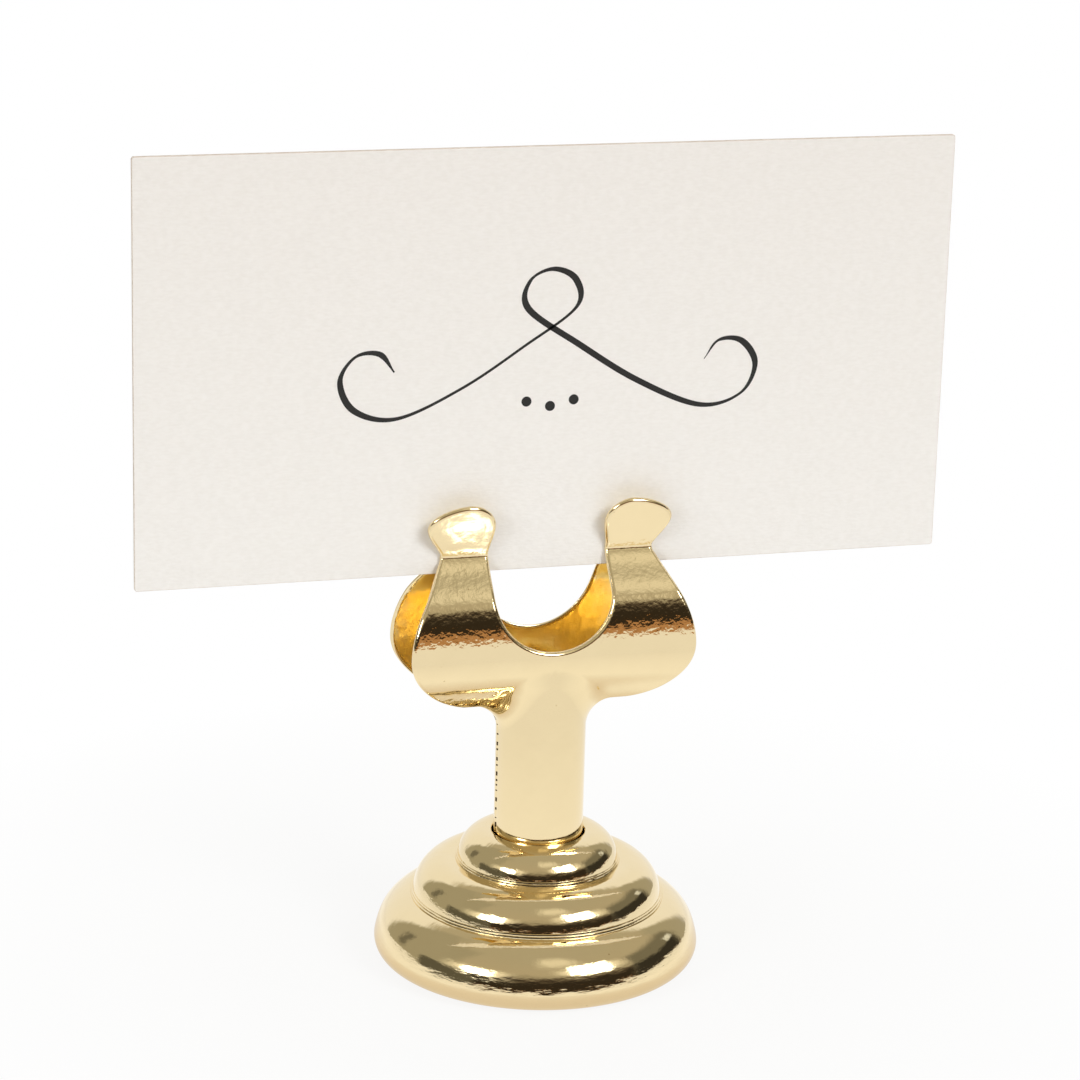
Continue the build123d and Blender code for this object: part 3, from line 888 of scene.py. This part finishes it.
def turned_tree():
    """Geometry Nodes: turns a ring of profile points round the Z axis."""
    tree = bpy.data.node_groups.new("turned_piece", "GeometryNodeTree")
    for name, kind in (("Profile", "Geometry"), ("Sides", "Int"), ("Finish", "Material")):
        tree.interface.new_socket(name, in_out="INPUT", socket_type=f"NodeSocket{kind}")
    tree.interface.new_socket("Piece", in_out="OUTPUT", socket_type="NodeSocketGeometry")
    given = add_node(tree, "NodeGroupInput").outputs
    ring = {"Geometry": given["Profile"]}
    size = add_node(tree, "GeometryNodeAttributeDomainSize", ring, component="MESH")
    count = size.outputs["Point Count"]
    lines = math_node(tree, "ADD", given["Sides"], 1)
    stride = math_node(tree, "ADD", count, 1)
    sheet = add_node(tree, "GeometryNodeMeshGrid", {"Vertices X": lines, "Vertices Y": stride})
    index = add_node(tree, "GeometryNodeInputIndex").outputs[0]
    line = math_node(tree, "FLOOR", math_node(tree, "DIVIDE", math_node(tree, "ADD", index, 0.5), stride))
    spot = math_node(tree, "SUBTRACT", index, times(tree, line, stride))
    wrapped = times(tree, spot, math_node(tree, "LESS_THAN", spot, count))
    position = add_node(tree, "GeometryNodeInputPosition").outputs[0]
    picked = ring | {"Value": position, "Index": wrapped}
    sample = add_node(tree, "GeometryNodeSampleIndex", picked, data_type="FLOAT_VECTOR", domain="POINT")
    turn = times(tree, math_node(tree, "DIVIDE", line, given["Sides"]), math.tau)
    spun = {"Vector": sample.outputs[0], "Angle": turn}
    placed = add_node(tree, "ShaderNodeVectorRotate", spun, rotation_type="Z_AXIS")
    piece = sheet.outputs["Mesh"]
    for kind, inputs in (
        ("SetPosition", {"Position": placed.outputs[0]}),
        ("MergeByDistance", {"Distance": 0.002 * MM}),
        ("SetShadeSmooth", {}),
        ("RealizeInstances", {}),
        ("SetMaterial", {"Material": given["Finish"]}),
    ):
        piece = add_node(tree, f"GeometryNode{kind}", {"Geometry": piece} | inputs).outputs[0]
    add_node(tree, "NodeGroupOutput", {"Piece": piece})
    return tree


def turned_piece(name, profile, tree, finish, sides):
    """Plain mesh object, turned by the tree from a closed profile in millimetres."""
    mesh = bpy.data.meshes.new(f"{name}_profile")
    rim = [(i, (i + 1) % len(profile)) for i in range(len(profile))]
    mesh.from_pydata([(r * MM, 0, z * MM) for r, z in profile], rim, [])
    source = linked(f"{name}_source", mesh)
    modifier = source.modifiers.new("shape", "NODES")
    modifier.node_group = tree
    values = {"Sides": sides, "Finish": finish}
    for socket in tree.interface.items_tree:
        if socket.name in values:
            modifier[socket.identifier] = values[socket.name]
    depsgraph = bpy.context.evaluated_depsgraph_get()
    result = bpy.data.meshes.new_from_object(source.evaluated_get(depsgraph))
    source.modifiers.remove(modifier)
    bpy.data.objects.remove(source)
    result.name = name
    return linked(name, result)


def make_base(gold, felt):
    """Spun shell, and the felt disc inside its lip."""
    tree = turned_tree()
    shell = turned_piece("spun_shell", softened_ring(shell_profile()), tree, gold, SHELL_SIDES)
    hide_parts("base_shell")
    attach(shell, "stand")
    pad = turned_piece("felt_pad", PAD_PROFILE, tree, felt, PAD_SIDES)
    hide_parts("base_pad")
    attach(pad, "stand")


# Finishes. Scales of the noise are per metre, and heights of the relief are in millimetres
RIPPLE_SCALE = 260.0
PEEL_SCALE = 1700.0
CLOUD_SCALE = 380.0
CLOUD_WEAR = 0.12  # share of the worn colour where the haze is thickest
SPECK_SCALE = 1100.0
SPECK_SIZE = 0.12
FOLD_SCALE = 620.0
FOLD_HEIGHT = 0.22
ARM_PEEL = 0.028
SATIN_SCALE = 420.0
SATIN_HEIGHT = 0.14
STREAK_SCALE = 1100.0
STREAK_HEIGHT = 0.035
TICK_REACH = 0.32  # of the dark ticks, to each side of the seam
TICK_LEVEL = 0.52
PLATING_INPUTS = ("Ripple mm", "Peel mm", "Polish", "Haze", "Specks")
FIBRE_INPUTS = ("Strand", "Length", "Relief mm")


def emptied(owner):
    """Node tree of a material or world, with nothing in it."""
    owner.use_nodes = True
    owner.node_tree.nodes.clear()
    return owner.node_tree


def new_material(name):
    """Material with nothing in its tree, and the tree."""
    material = bpy.data.materials.new(name)
    return material, emptied(material)


def add_surface(tree, shader):
    """Joins a shader to the material's output."""
    add_node(tree, "ShaderNodeOutputMaterial", {"Surface": shader.outputs[0]})


def shader_group(name, inputs, outputs):
    """Empty shader group with named value inputs and outputs, and what it is given."""
    group = bpy.data.node_groups.new(name, "ShaderNodeTree")
    for direction, keys in (("INPUT", inputs), ("OUTPUT", outputs)):
        for key in keys:
            group.interface.new_socket(key, in_out=direction, socket_type="NodeSocketFloat")
    return group, add_node(group, "NodeGroupInput").outputs


def noise(tree, place, scale, detail=2.0):
    """Noise texture, from 0 to 1."""
    values = {"Vector": place, "Scale": scale, "Detail": detail}
    return add_node(tree, "ShaderNodeTexNoise", values).outputs["Fac"]


def object_place(tree):
    """Place on the piece."""
    return add_node(tree, "ShaderNodeTexCoord").outputs["Object"]


def object_axes(tree):
    """Place on the piece, along each axis."""
    return add_node(tree, "ShaderNodeSeparateXYZ", {0: object_place(tree)}).outputs


def vector_node(tree, operation, first, second=(0, 0, 0)):
    """Outputs of a Vector Math node."""
    return add_node(tree, "ShaderNodeVectorMath", {0: first, 1: second}, operation=operation).outputs


def mixed_colour(tree, share, first, second):
    """Colour between two colours."""
    return add_node(tree, "ShaderNodeMix", {0: share, 6: first, 7: second}, data_type="RGBA").outputs[2]


def between(tree, value, low, high, start=0.0, end=1.0, rise="SMOOTHSTEP"):
    """Rise from a start to an end while a value goes from low to high."""
    values = {"Value": value, "From Min": low, "From Max": high, "To Min": start, "To Max": end}
    return add_node(tree, "ShaderNodeMapRange", values, interpolation_type=rise).outputs[0]


def bumped(tree, height):
    """Normal from a height in millimetres."""
    return add_node(tree, "ShaderNodeBump", {"Height": height, "Distance": MM}).outputs[0]


def plating_group():
    """Plated metal: slow ripple, fine peel, cloudy haze and tiny specks."""
    group, given = shader_group("plating", PLATING_INPUTS, ("Height", "Roughness", "Cloud", "Speck"))
    place = object_place(group)
    ripple = times(group, noise(group, place, RIPPLE_SCALE), given["Ripple mm"])
    peel = times(group, noise(group, place, PEEL_SCALE), given["Peel mm"])
    cloud = noise(group, place, CLOUD_SCALE, 4.0)
    dots = add_node(group, "ShaderNodeTexVoronoi", {"Vector": place, "Scale": SPECK_SCALE}).outputs
    small = math_node(group, "LESS_THAN", dots["Distance"], SPECK_SIZE)
    rare = math_node(group, "GREATER_THAN", noise(group, place, 900.0), 0.66)
    add_node(group, "NodeGroupOutput", {
        "Height": math_node(group, "ADD", ripple, peel),
        "Roughness": math_node(group, "MULTIPLY_ADD", cloud, given["Haze"], given["Polish"]),
        "Cloud": cloud,
        "Speck": times(group, small, rare, given["Specks"]),
    })
    return group


def fibre_group():
    """Matted fibres: long strands lying one way, and short ones across them."""
    group, given = shader_group("fibre", FIBRE_INPUTS, ("Height", "Shade"))
    place = object_place(group)
    strand = given["Strand"]
    lengthwise = math_node(group, "DIVIDE", strand, given["Length"])
    stretch = add_node(group, "ShaderNodeCombineXYZ", {"X": lengthwise, "Y": strand, "Z": strand})
    laid = vector_node(group, "MULTIPLY", place, stretch.outputs[0])[0]
    strands = times(group, noise(group, laid, 1.0, 3.0), 0.65)
    shade = math_node(group, "MULTIPLY_ADD", noise(group, place, 1500.0), 0.35, strands)
    height = times(group, shade, given["Relief mm"])
    add_node(group, "NodeGroupOutput", {"Height": height, "Shade": shade})
    return group


def clip_relief(tree):
    """Height of the arms' peel and of the folds where the sheet turns under one wing."""
    place, axes = object_place(tree), object_axes(tree)
    low = between(tree, axes["Z"], (LOOP_BOTTOM_Z + 3) * MM, (LOOP_BOTTOM_Z + 1.5) * MM)
    wide = between(tree, axes["X"], -STEM_RADIUS * MM, -(STEM_RADIUS + 2) * MM)
    folds = times(tree, noise(tree, place, FOLD_SCALE), low, wide)
    above = between(tree, axes["Z"], LOOP_MID_Z * MM, (LOOP_MID_Z + 1.5) * MM)
    below = between(tree, axes["Z"], (PINCH_Z + 1) * MM, PINCH_Z * MM)
    peel = times(tree, noise(tree, place, PEEL_SCALE), above, below, ARM_PEEL)
    return math_node(tree, "MULTIPLY_ADD", folds, FOLD_HEIGHT, peel)


def seam_ticks(tree):
    """Mask of the dark ticks in the stem's left seam."""
    axes = object_axes(tree)
    near = math_node(tree, "LESS_THAN", math_node(tree, "ABSOLUTE", axes["Y"]), TICK_REACH * MM)
    low = math_node(tree, "LESS_THAN", axes["Z"], (LOOP_BOTTOM_Z - 1) * MM)
    left = math_node(tree, "LESS_THAN", axes["X"], 0.0)
    rise = add_node(tree, "ShaderNodeCombineXYZ", {"Z": times(tree, axes["Z"], PEEL_SCALE)})
    ticks = math_node(tree, "GREATER_THAN", noise(tree, rise.outputs[0], 1.0, 3.0), TICK_LEVEL)
    return times(tree, ticks, near, low, left)


def satin_folds(tree):
    """Height of soft folds all over the leaves' inner faces."""
    return times(tree, noise(tree, object_place(tree), SATIN_SCALE), SATIN_HEIGHT)


def spun_streaks(tree):
    """Height of fine turned lines round the base."""
    axes = object_axes(tree)
    squares = [math_node(tree, "POWER", axes[axis], 2.0) for axis in "XY"]
    reach = math_node(tree, "SQRT", math_node(tree, "ADD", *squares))
    place = {axis: times(tree, math_node(tree, "DIVIDE", axes[axis], reach), 7.0) for axis in "XY"}
    place["Z"] = times(tree, math_node(tree, "MULTIPLY_ADD", axes["Z"], 1.6, reach), STREAK_SCALE)
    spot = add_node(tree, "ShaderNodeCombineXYZ", place).outputs[0]
    return times(tree, noise(tree, spot, 1.0, 4.0), STREAK_HEIGHT)


def plated(name, group, colour, worn, values, relief=None, dark_marks=None):
    """Polished or satin metal with the plating's ripple, haze and specks, and its own relief and dark
    marks.
    """
    material, tree = new_material(name)
    given = dict(zip(PLATING_INPUTS, values))
    surface = add_node(tree, "ShaderNodeGroup", given, node_tree=group).outputs
    share = math_node(tree, "MULTIPLY_ADD", surface["Cloud"], CLOUD_WEAR, surface["Speck"])
    tint = mixed_colour(tree, share, colour, worn)
    if dark_marks:
        tint = mixed_colour(tree, dark_marks(tree), tint, SEAM_TICK_DARK)
    height = surface["Height"]
    if relief:
        height = math_node(tree, "ADD", height, relief(tree))
    add_surface(tree, add_node(tree, "ShaderNodeBsdfPrincipled", {
        "Base Color": tint,
        "Roughness": surface["Roughness"],
        "Metallic": 1.0,
        "Normal": bumped(tree, height),
    }))
    return material


def fibrous(name, group, light, dark, values):
    """Matt material of matted fibres, such as paper or felt."""
    material, tree = new_material(name)
    given = dict(zip(FIBRE_INPUTS, values))
    surface = add_node(tree, "ShaderNodeGroup", given, node_tree=group).outputs
    share = between(tree, surface["Shade"], 0.3, 0.7)
    add_surface(tree, add_node(tree, "ShaderNodeBsdfPrincipled", {
        "Base Color": mixed_colour(tree, share, dark, light),
        "Roughness": 0.9,
        "Specular IOR Level": 0.25,
        "Normal": bumped(tree, surface["Height"]),
    }))
    return material


def ink():
    """Dense black ink, a little lighter where it lies thick: a faint painted sheen."""
    material, tree = new_material("pen_ink")
    share = noise(tree, object_place(tree), 900.0)
    add_surface(tree, add_node(tree, "ShaderNodeBsdfPrincipled", {
        "Base Color": mixed_colour(tree, share, INK_BLACK, INK_SHEEN),
        "Roughness": math_node(tree, "MULTIPLY_ADD", share, 0.2, 0.45),
    }))
    return material


PALE_GOLD = (0.89, 0.735, 0.45, 1)
WORN_GOLD = (0.60, 0.44, 0.22, 1)
# The inner faces' deeper gold is painted reflection, standing in for light bounced between facing gold
# faces
DEEP_REFLECTED_GOLD = (0.96, 0.74, 0.27, 1)
# colour of the dark ticks along the stem's left seam
SEAM_TICK_DARK = (0.07, 0.045, 0.02, 1)
INK_BLACK = (0.006, 0.006, 0.006, 1)
# lighter ink colour: painted sheen
INK_SHEEN = (0.016, 0.015, 0.014, 1)
STEEL = (0.58, 0.57, 0.55, 1)
DARK_STEEL = (0.32, 0.30, 0.28, 1)
CAST_GREY = (0.30, 0.30, 0.31, 1)
CAST_DARK = (0.16, 0.16, 0.17, 1)
METALS = {
    "clip_gold": (PALE_GOLD, WORN_GOLD, (0.04, 0.004, 0.03, 0.06, 0.6), clip_relief, seam_ticks),
    "inner_gold": (DEEP_REFLECTED_GOLD, WORN_GOLD, (0.05, 0.02, 0.24, 0.12, 0.2), satin_folds),
    "base_gold": (PALE_GOLD, WORN_GOLD, (0.03, 0.004, 0.03, 0.06, 0.6), spun_streaks),
    "plain_steel": (STEEL, DARK_STEEL, (0.01, 0.01, 0.2, 0.2, 0.3)),
    "cast_slug": (CAST_GREY, CAST_DARK, (0.15, 0.08, 0.45, 0.25, 0.8)),
}
FIBRES = {
    "card_paper": ((0.93, 0.908, 0.88, 1), (0.89, 0.865, 0.832, 1), (4200.0, 3.5, 0.05)),
    # the cut edge's darker tan is painted shade
    "card_edge_painted_shade": ((0.85, 0.78, 0.72, 1), (0.72, 0.62, 0.55, 1), (5000.0, 9.0, 0.03)),
    "pad_felt": ((0.045, 0.043, 0.042, 1), (0.015, 0.014, 0.014, 1), (2200.0, 2.5, 0.12)),
}
HIDDEN_FINISHES = {
    "base_weight": "cast_slug",
    "base_screw": "plain_steel",
    "lock_washer": "plain_steel",
    "stem_core": "plain_steel",
}

plating, fibre = plating_group(), fibre_group()
finishes = {name: plated(name, plating, *values) for name, values in METALS.items()}
finishes |= {name: fibrous(name, fibre, *values) for name, values in FIBRES.items()}
make_leaves(finishes["clip_gold"], finishes["inner_gold"])
make_card(finishes["card_paper"], finishes["card_edge_painted_shade"])
make_flourish(ink())
make_base(finishes["base_gold"], finishes["pad_felt"])
for node, finish in HIDDEN_FINISHES.items():
    for material_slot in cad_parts[node].material_slots:
        material_slot.material = finishes[finish]

# Camera, at the photograph's viewing angle
VIEW_LEFT = math.radians(16.5)
VIEW_UP = math.radians(16.5725)
VIEW_ROLL = math.radians(1.5)
VIEW_TARGET = Vector((-0.635, 0, 47.793)) * MM
VIEW_DISTANCE = 386.5 * MM
VIEW_LENS = 120.463


def make_camera():
    """Camera on the left of the front, a little above, and turned slightly about its view."""
    back = Vector((
        -math.sin(VIEW_LEFT) * math.cos(VIEW_UP),
        -math.cos(VIEW_LEFT) * math.cos(VIEW_UP),
        math.sin(VIEW_UP),
    ))
    level = Vector((0, 0, 1)).cross(back).normalized()
    right = math.cos(VIEW_ROLL) * level + math.sin(VIEW_ROLL) * back.cross(level)
    up = back.cross(right)
    data = bpy.data.cameras.new("photo_view")
    data.lens = VIEW_LENS
    data.sensor_width = 36
    data.clip_start = 0.01
    camera = linked("photo_view", data)
    turn = Matrix((right, up, back)).transposed().to_4x4()
    camera.matrix_world = Matrix.Translation(VIEW_TARGET + VIEW_DISTANCE * back) @ turn
    bpy.context.scene.camera = camera


# Studio, by bearing from the front and height above the horizon in degrees: a dim warm room in
# front, a white sweep under and behind the object, and two soft boxes
ROOM_BY_HEIGHT = (
    (-90, (0.45, 0.22, 0.09)),
    (-2, (0.50, 0.27, 0.125)),
    (-0.3, (0.42, 0.22, 0.10)),
    (0.7, (0.035, 0.025, 0.015)),
    (10.5, (0.035, 0.028, 0.02)),
    (15, (0.12, 0.095, 0.07)),
    (20, (0.38, 0.35, 0.27)),
    (28, (0.50, 0.455, 0.355)),
    (65, (0.48, 0.45, 0.36)),
)
SOFT_BOX = (10.6, 11.0, 11.4)
HALO = (1.2, 1.15, 1.0)
PATCH_PLACES = ("Bearing", "Height", "Half width", "Half height", "Side edge", "Top edge")
STUDIO_PATCHES = (
    ((-115, 20, 32, 35, 12, 12), (0.40, 0.38, 0.30)),
    ((-82, 4, 20, 6, 6, 6), (0.12, 0.115, 0.09)),
    ((-128, 17, 1, 7, 6, 8), (0.18, 0.17, 0.135)),
    ((88, 20, 24, 10, 10, 12), (0.20, 0.19, 0.15)),
    ((84, 8, 20, 6, 8, 5), (0.04, 0.037, 0.03)),
    ((119, 15, 5, 25, 7, 7), (0.42, 0.40, 0.32)),
    ((104, 21, 1, 2, 4, 4), (0.80, 0.84, 0.86)),
    ((170, 0, 38, 41, 8, 8), (0.97, 0.97, 0.97)),
    ((6, 56, 9, 1, 17, 17), (0.86, 0.82, 0.70)),
    ((-59, 20.5, 8, 2, 26, 9), HALO),
    ((28, 30, 10, 3, 26, 9), HALO),
    ((-59, 20, 5, 3, 10, 6), SOFT_BOX),
    ((28, 32, 8, 6, 11, 7), SOFT_BOX),
)


def height_ramp(tree, height, stops):
    """Colours by height above the horizon."""
    share = math_node(tree, "MULTIPLY_ADD", height, 1 / 180, 0.5)
    node = add_node(tree, "ShaderNodeValToRGB", {"Fac": share})
    ramp = node.color_ramp
    while len(ramp.elements) < len(stops):
        ramp.elements.new(1.0)
    for element, (degrees, colour) in zip(ramp.elements, stops):
        element.position = degrees / 180 + 0.5
        element.color = (*colour, 1)
    return node.outputs["Color"]


def patch_group():
    """Mask of a soft-edged rectangle of the studio round the object."""
    names = ("Look bearing", "Look height") + PATCH_PLACES
    group, given = shader_group("studio_patch", names, ("Mask",))
    turn = math_node(group, "SUBTRACT", given["Look bearing"], given["Bearing"])
    turn = math_node(group, "ABSOLUTE", math_node(group, "WRAP", turn, 180.0, -180.0))
    rise = math_node(group, "ABSOLUTE", math_node(group, "SUBTRACT", given["Look height"], given["Height"]))
    masks = []
    for distance, size, edge in ((turn, "Half width", "Side edge"), (rise, "Half height", "Top edge")):
        half = given[size]
        masks.append(between(group, distance, math_node(group, "ADD", half, given[edge]), half))
    add_node(group, "NodeGroupOutput", {"Mask": times(group, *masks)})
    return group


def make_world():
    """White to the camera, and the studio by direction for light and reflections."""
    world = bpy.data.worlds.new("studio")
    bpy.context.scene.world = world
    tree = emptied(world)
    direction = add_node(tree, "ShaderNodeTexCoord").outputs["Generated"]
    axes = add_node(tree, "ShaderNodeSeparateXYZ", {0: direction}).outputs
    degrees = 180 / math.pi
    height = times(tree, math_node(tree, "ARCSINE", axes["Z"]), degrees)
    forward = times(tree, axes["Y"], -1.0)
    bearing = times(tree, math_node(tree, "ARCTAN2", axes["X"], forward), degrees)
    colour = height_ramp(tree, height, ROOM_BY_HEIGHT)
    group = patch_group()
    for place, patch_colour in STUDIO_PATCHES:
        look = {"Look bearing": bearing, "Look height": height} | dict(zip(PATCH_PLACES, place))
        mask = add_node(tree, "ShaderNodeGroup", look, node_tree=group).outputs["Mask"]
        colour = mixed_colour(tree, mask, colour, (*patch_colour, 1))
    camera_ray = add_node(tree, "ShaderNodeLightPath").outputs["Is Camera Ray"]
    seen = mixed_colour(tree, camera_ray, colour, WHITE)
    background = add_node(tree, "ShaderNodeBackground", {"Color": seen, "Strength": 1.0})
    add_node(tree, "ShaderNodeOutputWorld", {"Surface": background.outputs[0]})


# White sweep under the object, in metres from its middle
WHITE = (1, 1, 1, 1)
SWEEP_GREY = (0.9, 0.9, 0.9, 1)
SWEEP_CORNERS = ((-0.7, -0.33, 0), (0.7, -0.33, 0), (0.7, 1.2, 0), (-0.7, 1.2, 0))
SWEEP_LIGHT = 0.9  # share of the sweep's own brightness that lights the card
SHADOW = (0.03, 0.09)
SHADOW_LEVEL = 0.88
# Painted light: to all but camera rays, the sweep glows brighter near the object and dimmer farther off
NEAR_TO_FAR = (0.036, 0.085)
PAINTED_NEAR_GLOW, PAINTED_FAR_GLOW = 1.08, 0.94
# Painted shade: to all but camera rays, the sweep is darker and tan in a ring round the base
CONTACT = (0.018, 0.034)
PAINTED_CONTACT_SHADE = 0.84
PAINTED_CONTACT_TINT = (1.0, 0.92, 0.84, 1)
GLINT = 3.0
GLINT_PLACE = (0.0062, -0.0326, 0)  # a painted glint on the sweep, glowing by itself, seen in one ear
GLINT_SIZE = (0.0036, 0.0023, 1)
GLINT_REACH = 0.052  # seen only from at least this far off


def make_floor():
    """White sweep under the object with a faint shadow, white to the camera; to other rays its brightness
    is painted: a glow near the object, a darker tan ring round the base, and a glint.
    """
    material, tree = new_material("white_sweep")
    paths = add_node(tree, "ShaderNodeLightPath").outputs
    camera_ray = paths["Is Camera Ray"]
    seen = math_node(tree, "MAXIMUM", camera_ray, paths["Is Glossy Ray"])
    seen = math_node(tree, "MAXIMUM", seen, paths["Is Transmission Ray"])
    seen = math_node(tree, "MULTIPLY_ADD", paths["Is Diffuse Ray"], SWEEP_LIGHT, seen)
    place = object_place(tree)
    distance = vector_node(tree, "LENGTH", place)["Value"]
    share = times(tree, seen, between(tree, distance, *SHADOW, SHADOW_LEVEL, 1.0, "LINEAR"))
    # painted glow of the sweep, seen in the metal
    near = between(tree, distance, *NEAR_TO_FAR, PAINTED_NEAR_GLOW, PAINTED_FAR_GLOW, "LINEAR")
    # painted darker ring round the base
    painted_contact_shade = between(tree, distance, *CONTACT, PAINTED_CONTACT_SHADE, PAINTED_NEAR_GLOW, "LINEAR")
    # painted glint, seen only in one ear
    offset = vector_node(tree, "SUBTRACT", place, GLINT_PLACE)[0]
    away = vector_node(tree, "LENGTH", vector_node(tree, "DIVIDE", offset, GLINT_SIZE)[0])["Value"]
    far = math_node(tree, "GREATER_THAN", paths["Ray Length"], GLINT_REACH)
    glint = times(tree, between(tree, away, 1.0, 0.6), GLINT, far)
    mirrored = math_node(tree, "MAXIMUM", math_node(tree, "MINIMUM", near, painted_contact_shade), glint)
    lacking = math_node(tree, "SUBTRACT", 1.0, mirrored)
    strength = math_node(tree, "MULTIPLY_ADD", lacking, camera_ray, mirrored)
    # painted tan tint of that ring, for all but camera rays
    clear = math_node(tree, "MAXIMUM", between(tree, distance, *CONTACT), camera_ray)
    colour = mixed_colour(tree, clear, PAINTED_CONTACT_TINT, WHITE)
    diffuse = add_node(tree, "ShaderNodeBsdfDiffuse", {"Color": SWEEP_GREY})
    emission = add_node(tree, "ShaderNodeEmission", {"Color": colour, "Strength": strength})
    mix = add_node(tree, "ShaderNodeMixShader", {0: share, 1: diffuse.outputs[0], 2: emission.outputs[0]})
    add_surface(tree, mix)
    mesh = bpy.data.meshes.new("white_sweep")
    mesh.from_pydata(SWEEP_CORNERS, [], [(0, 1, 2, 3)])
    mesh.materials.append(material)
    floor = linked("white_sweep", mesh)


make_camera()
make_world()
make_floor()
bpy.context.scene.view_settings.view_transform = "Standard"
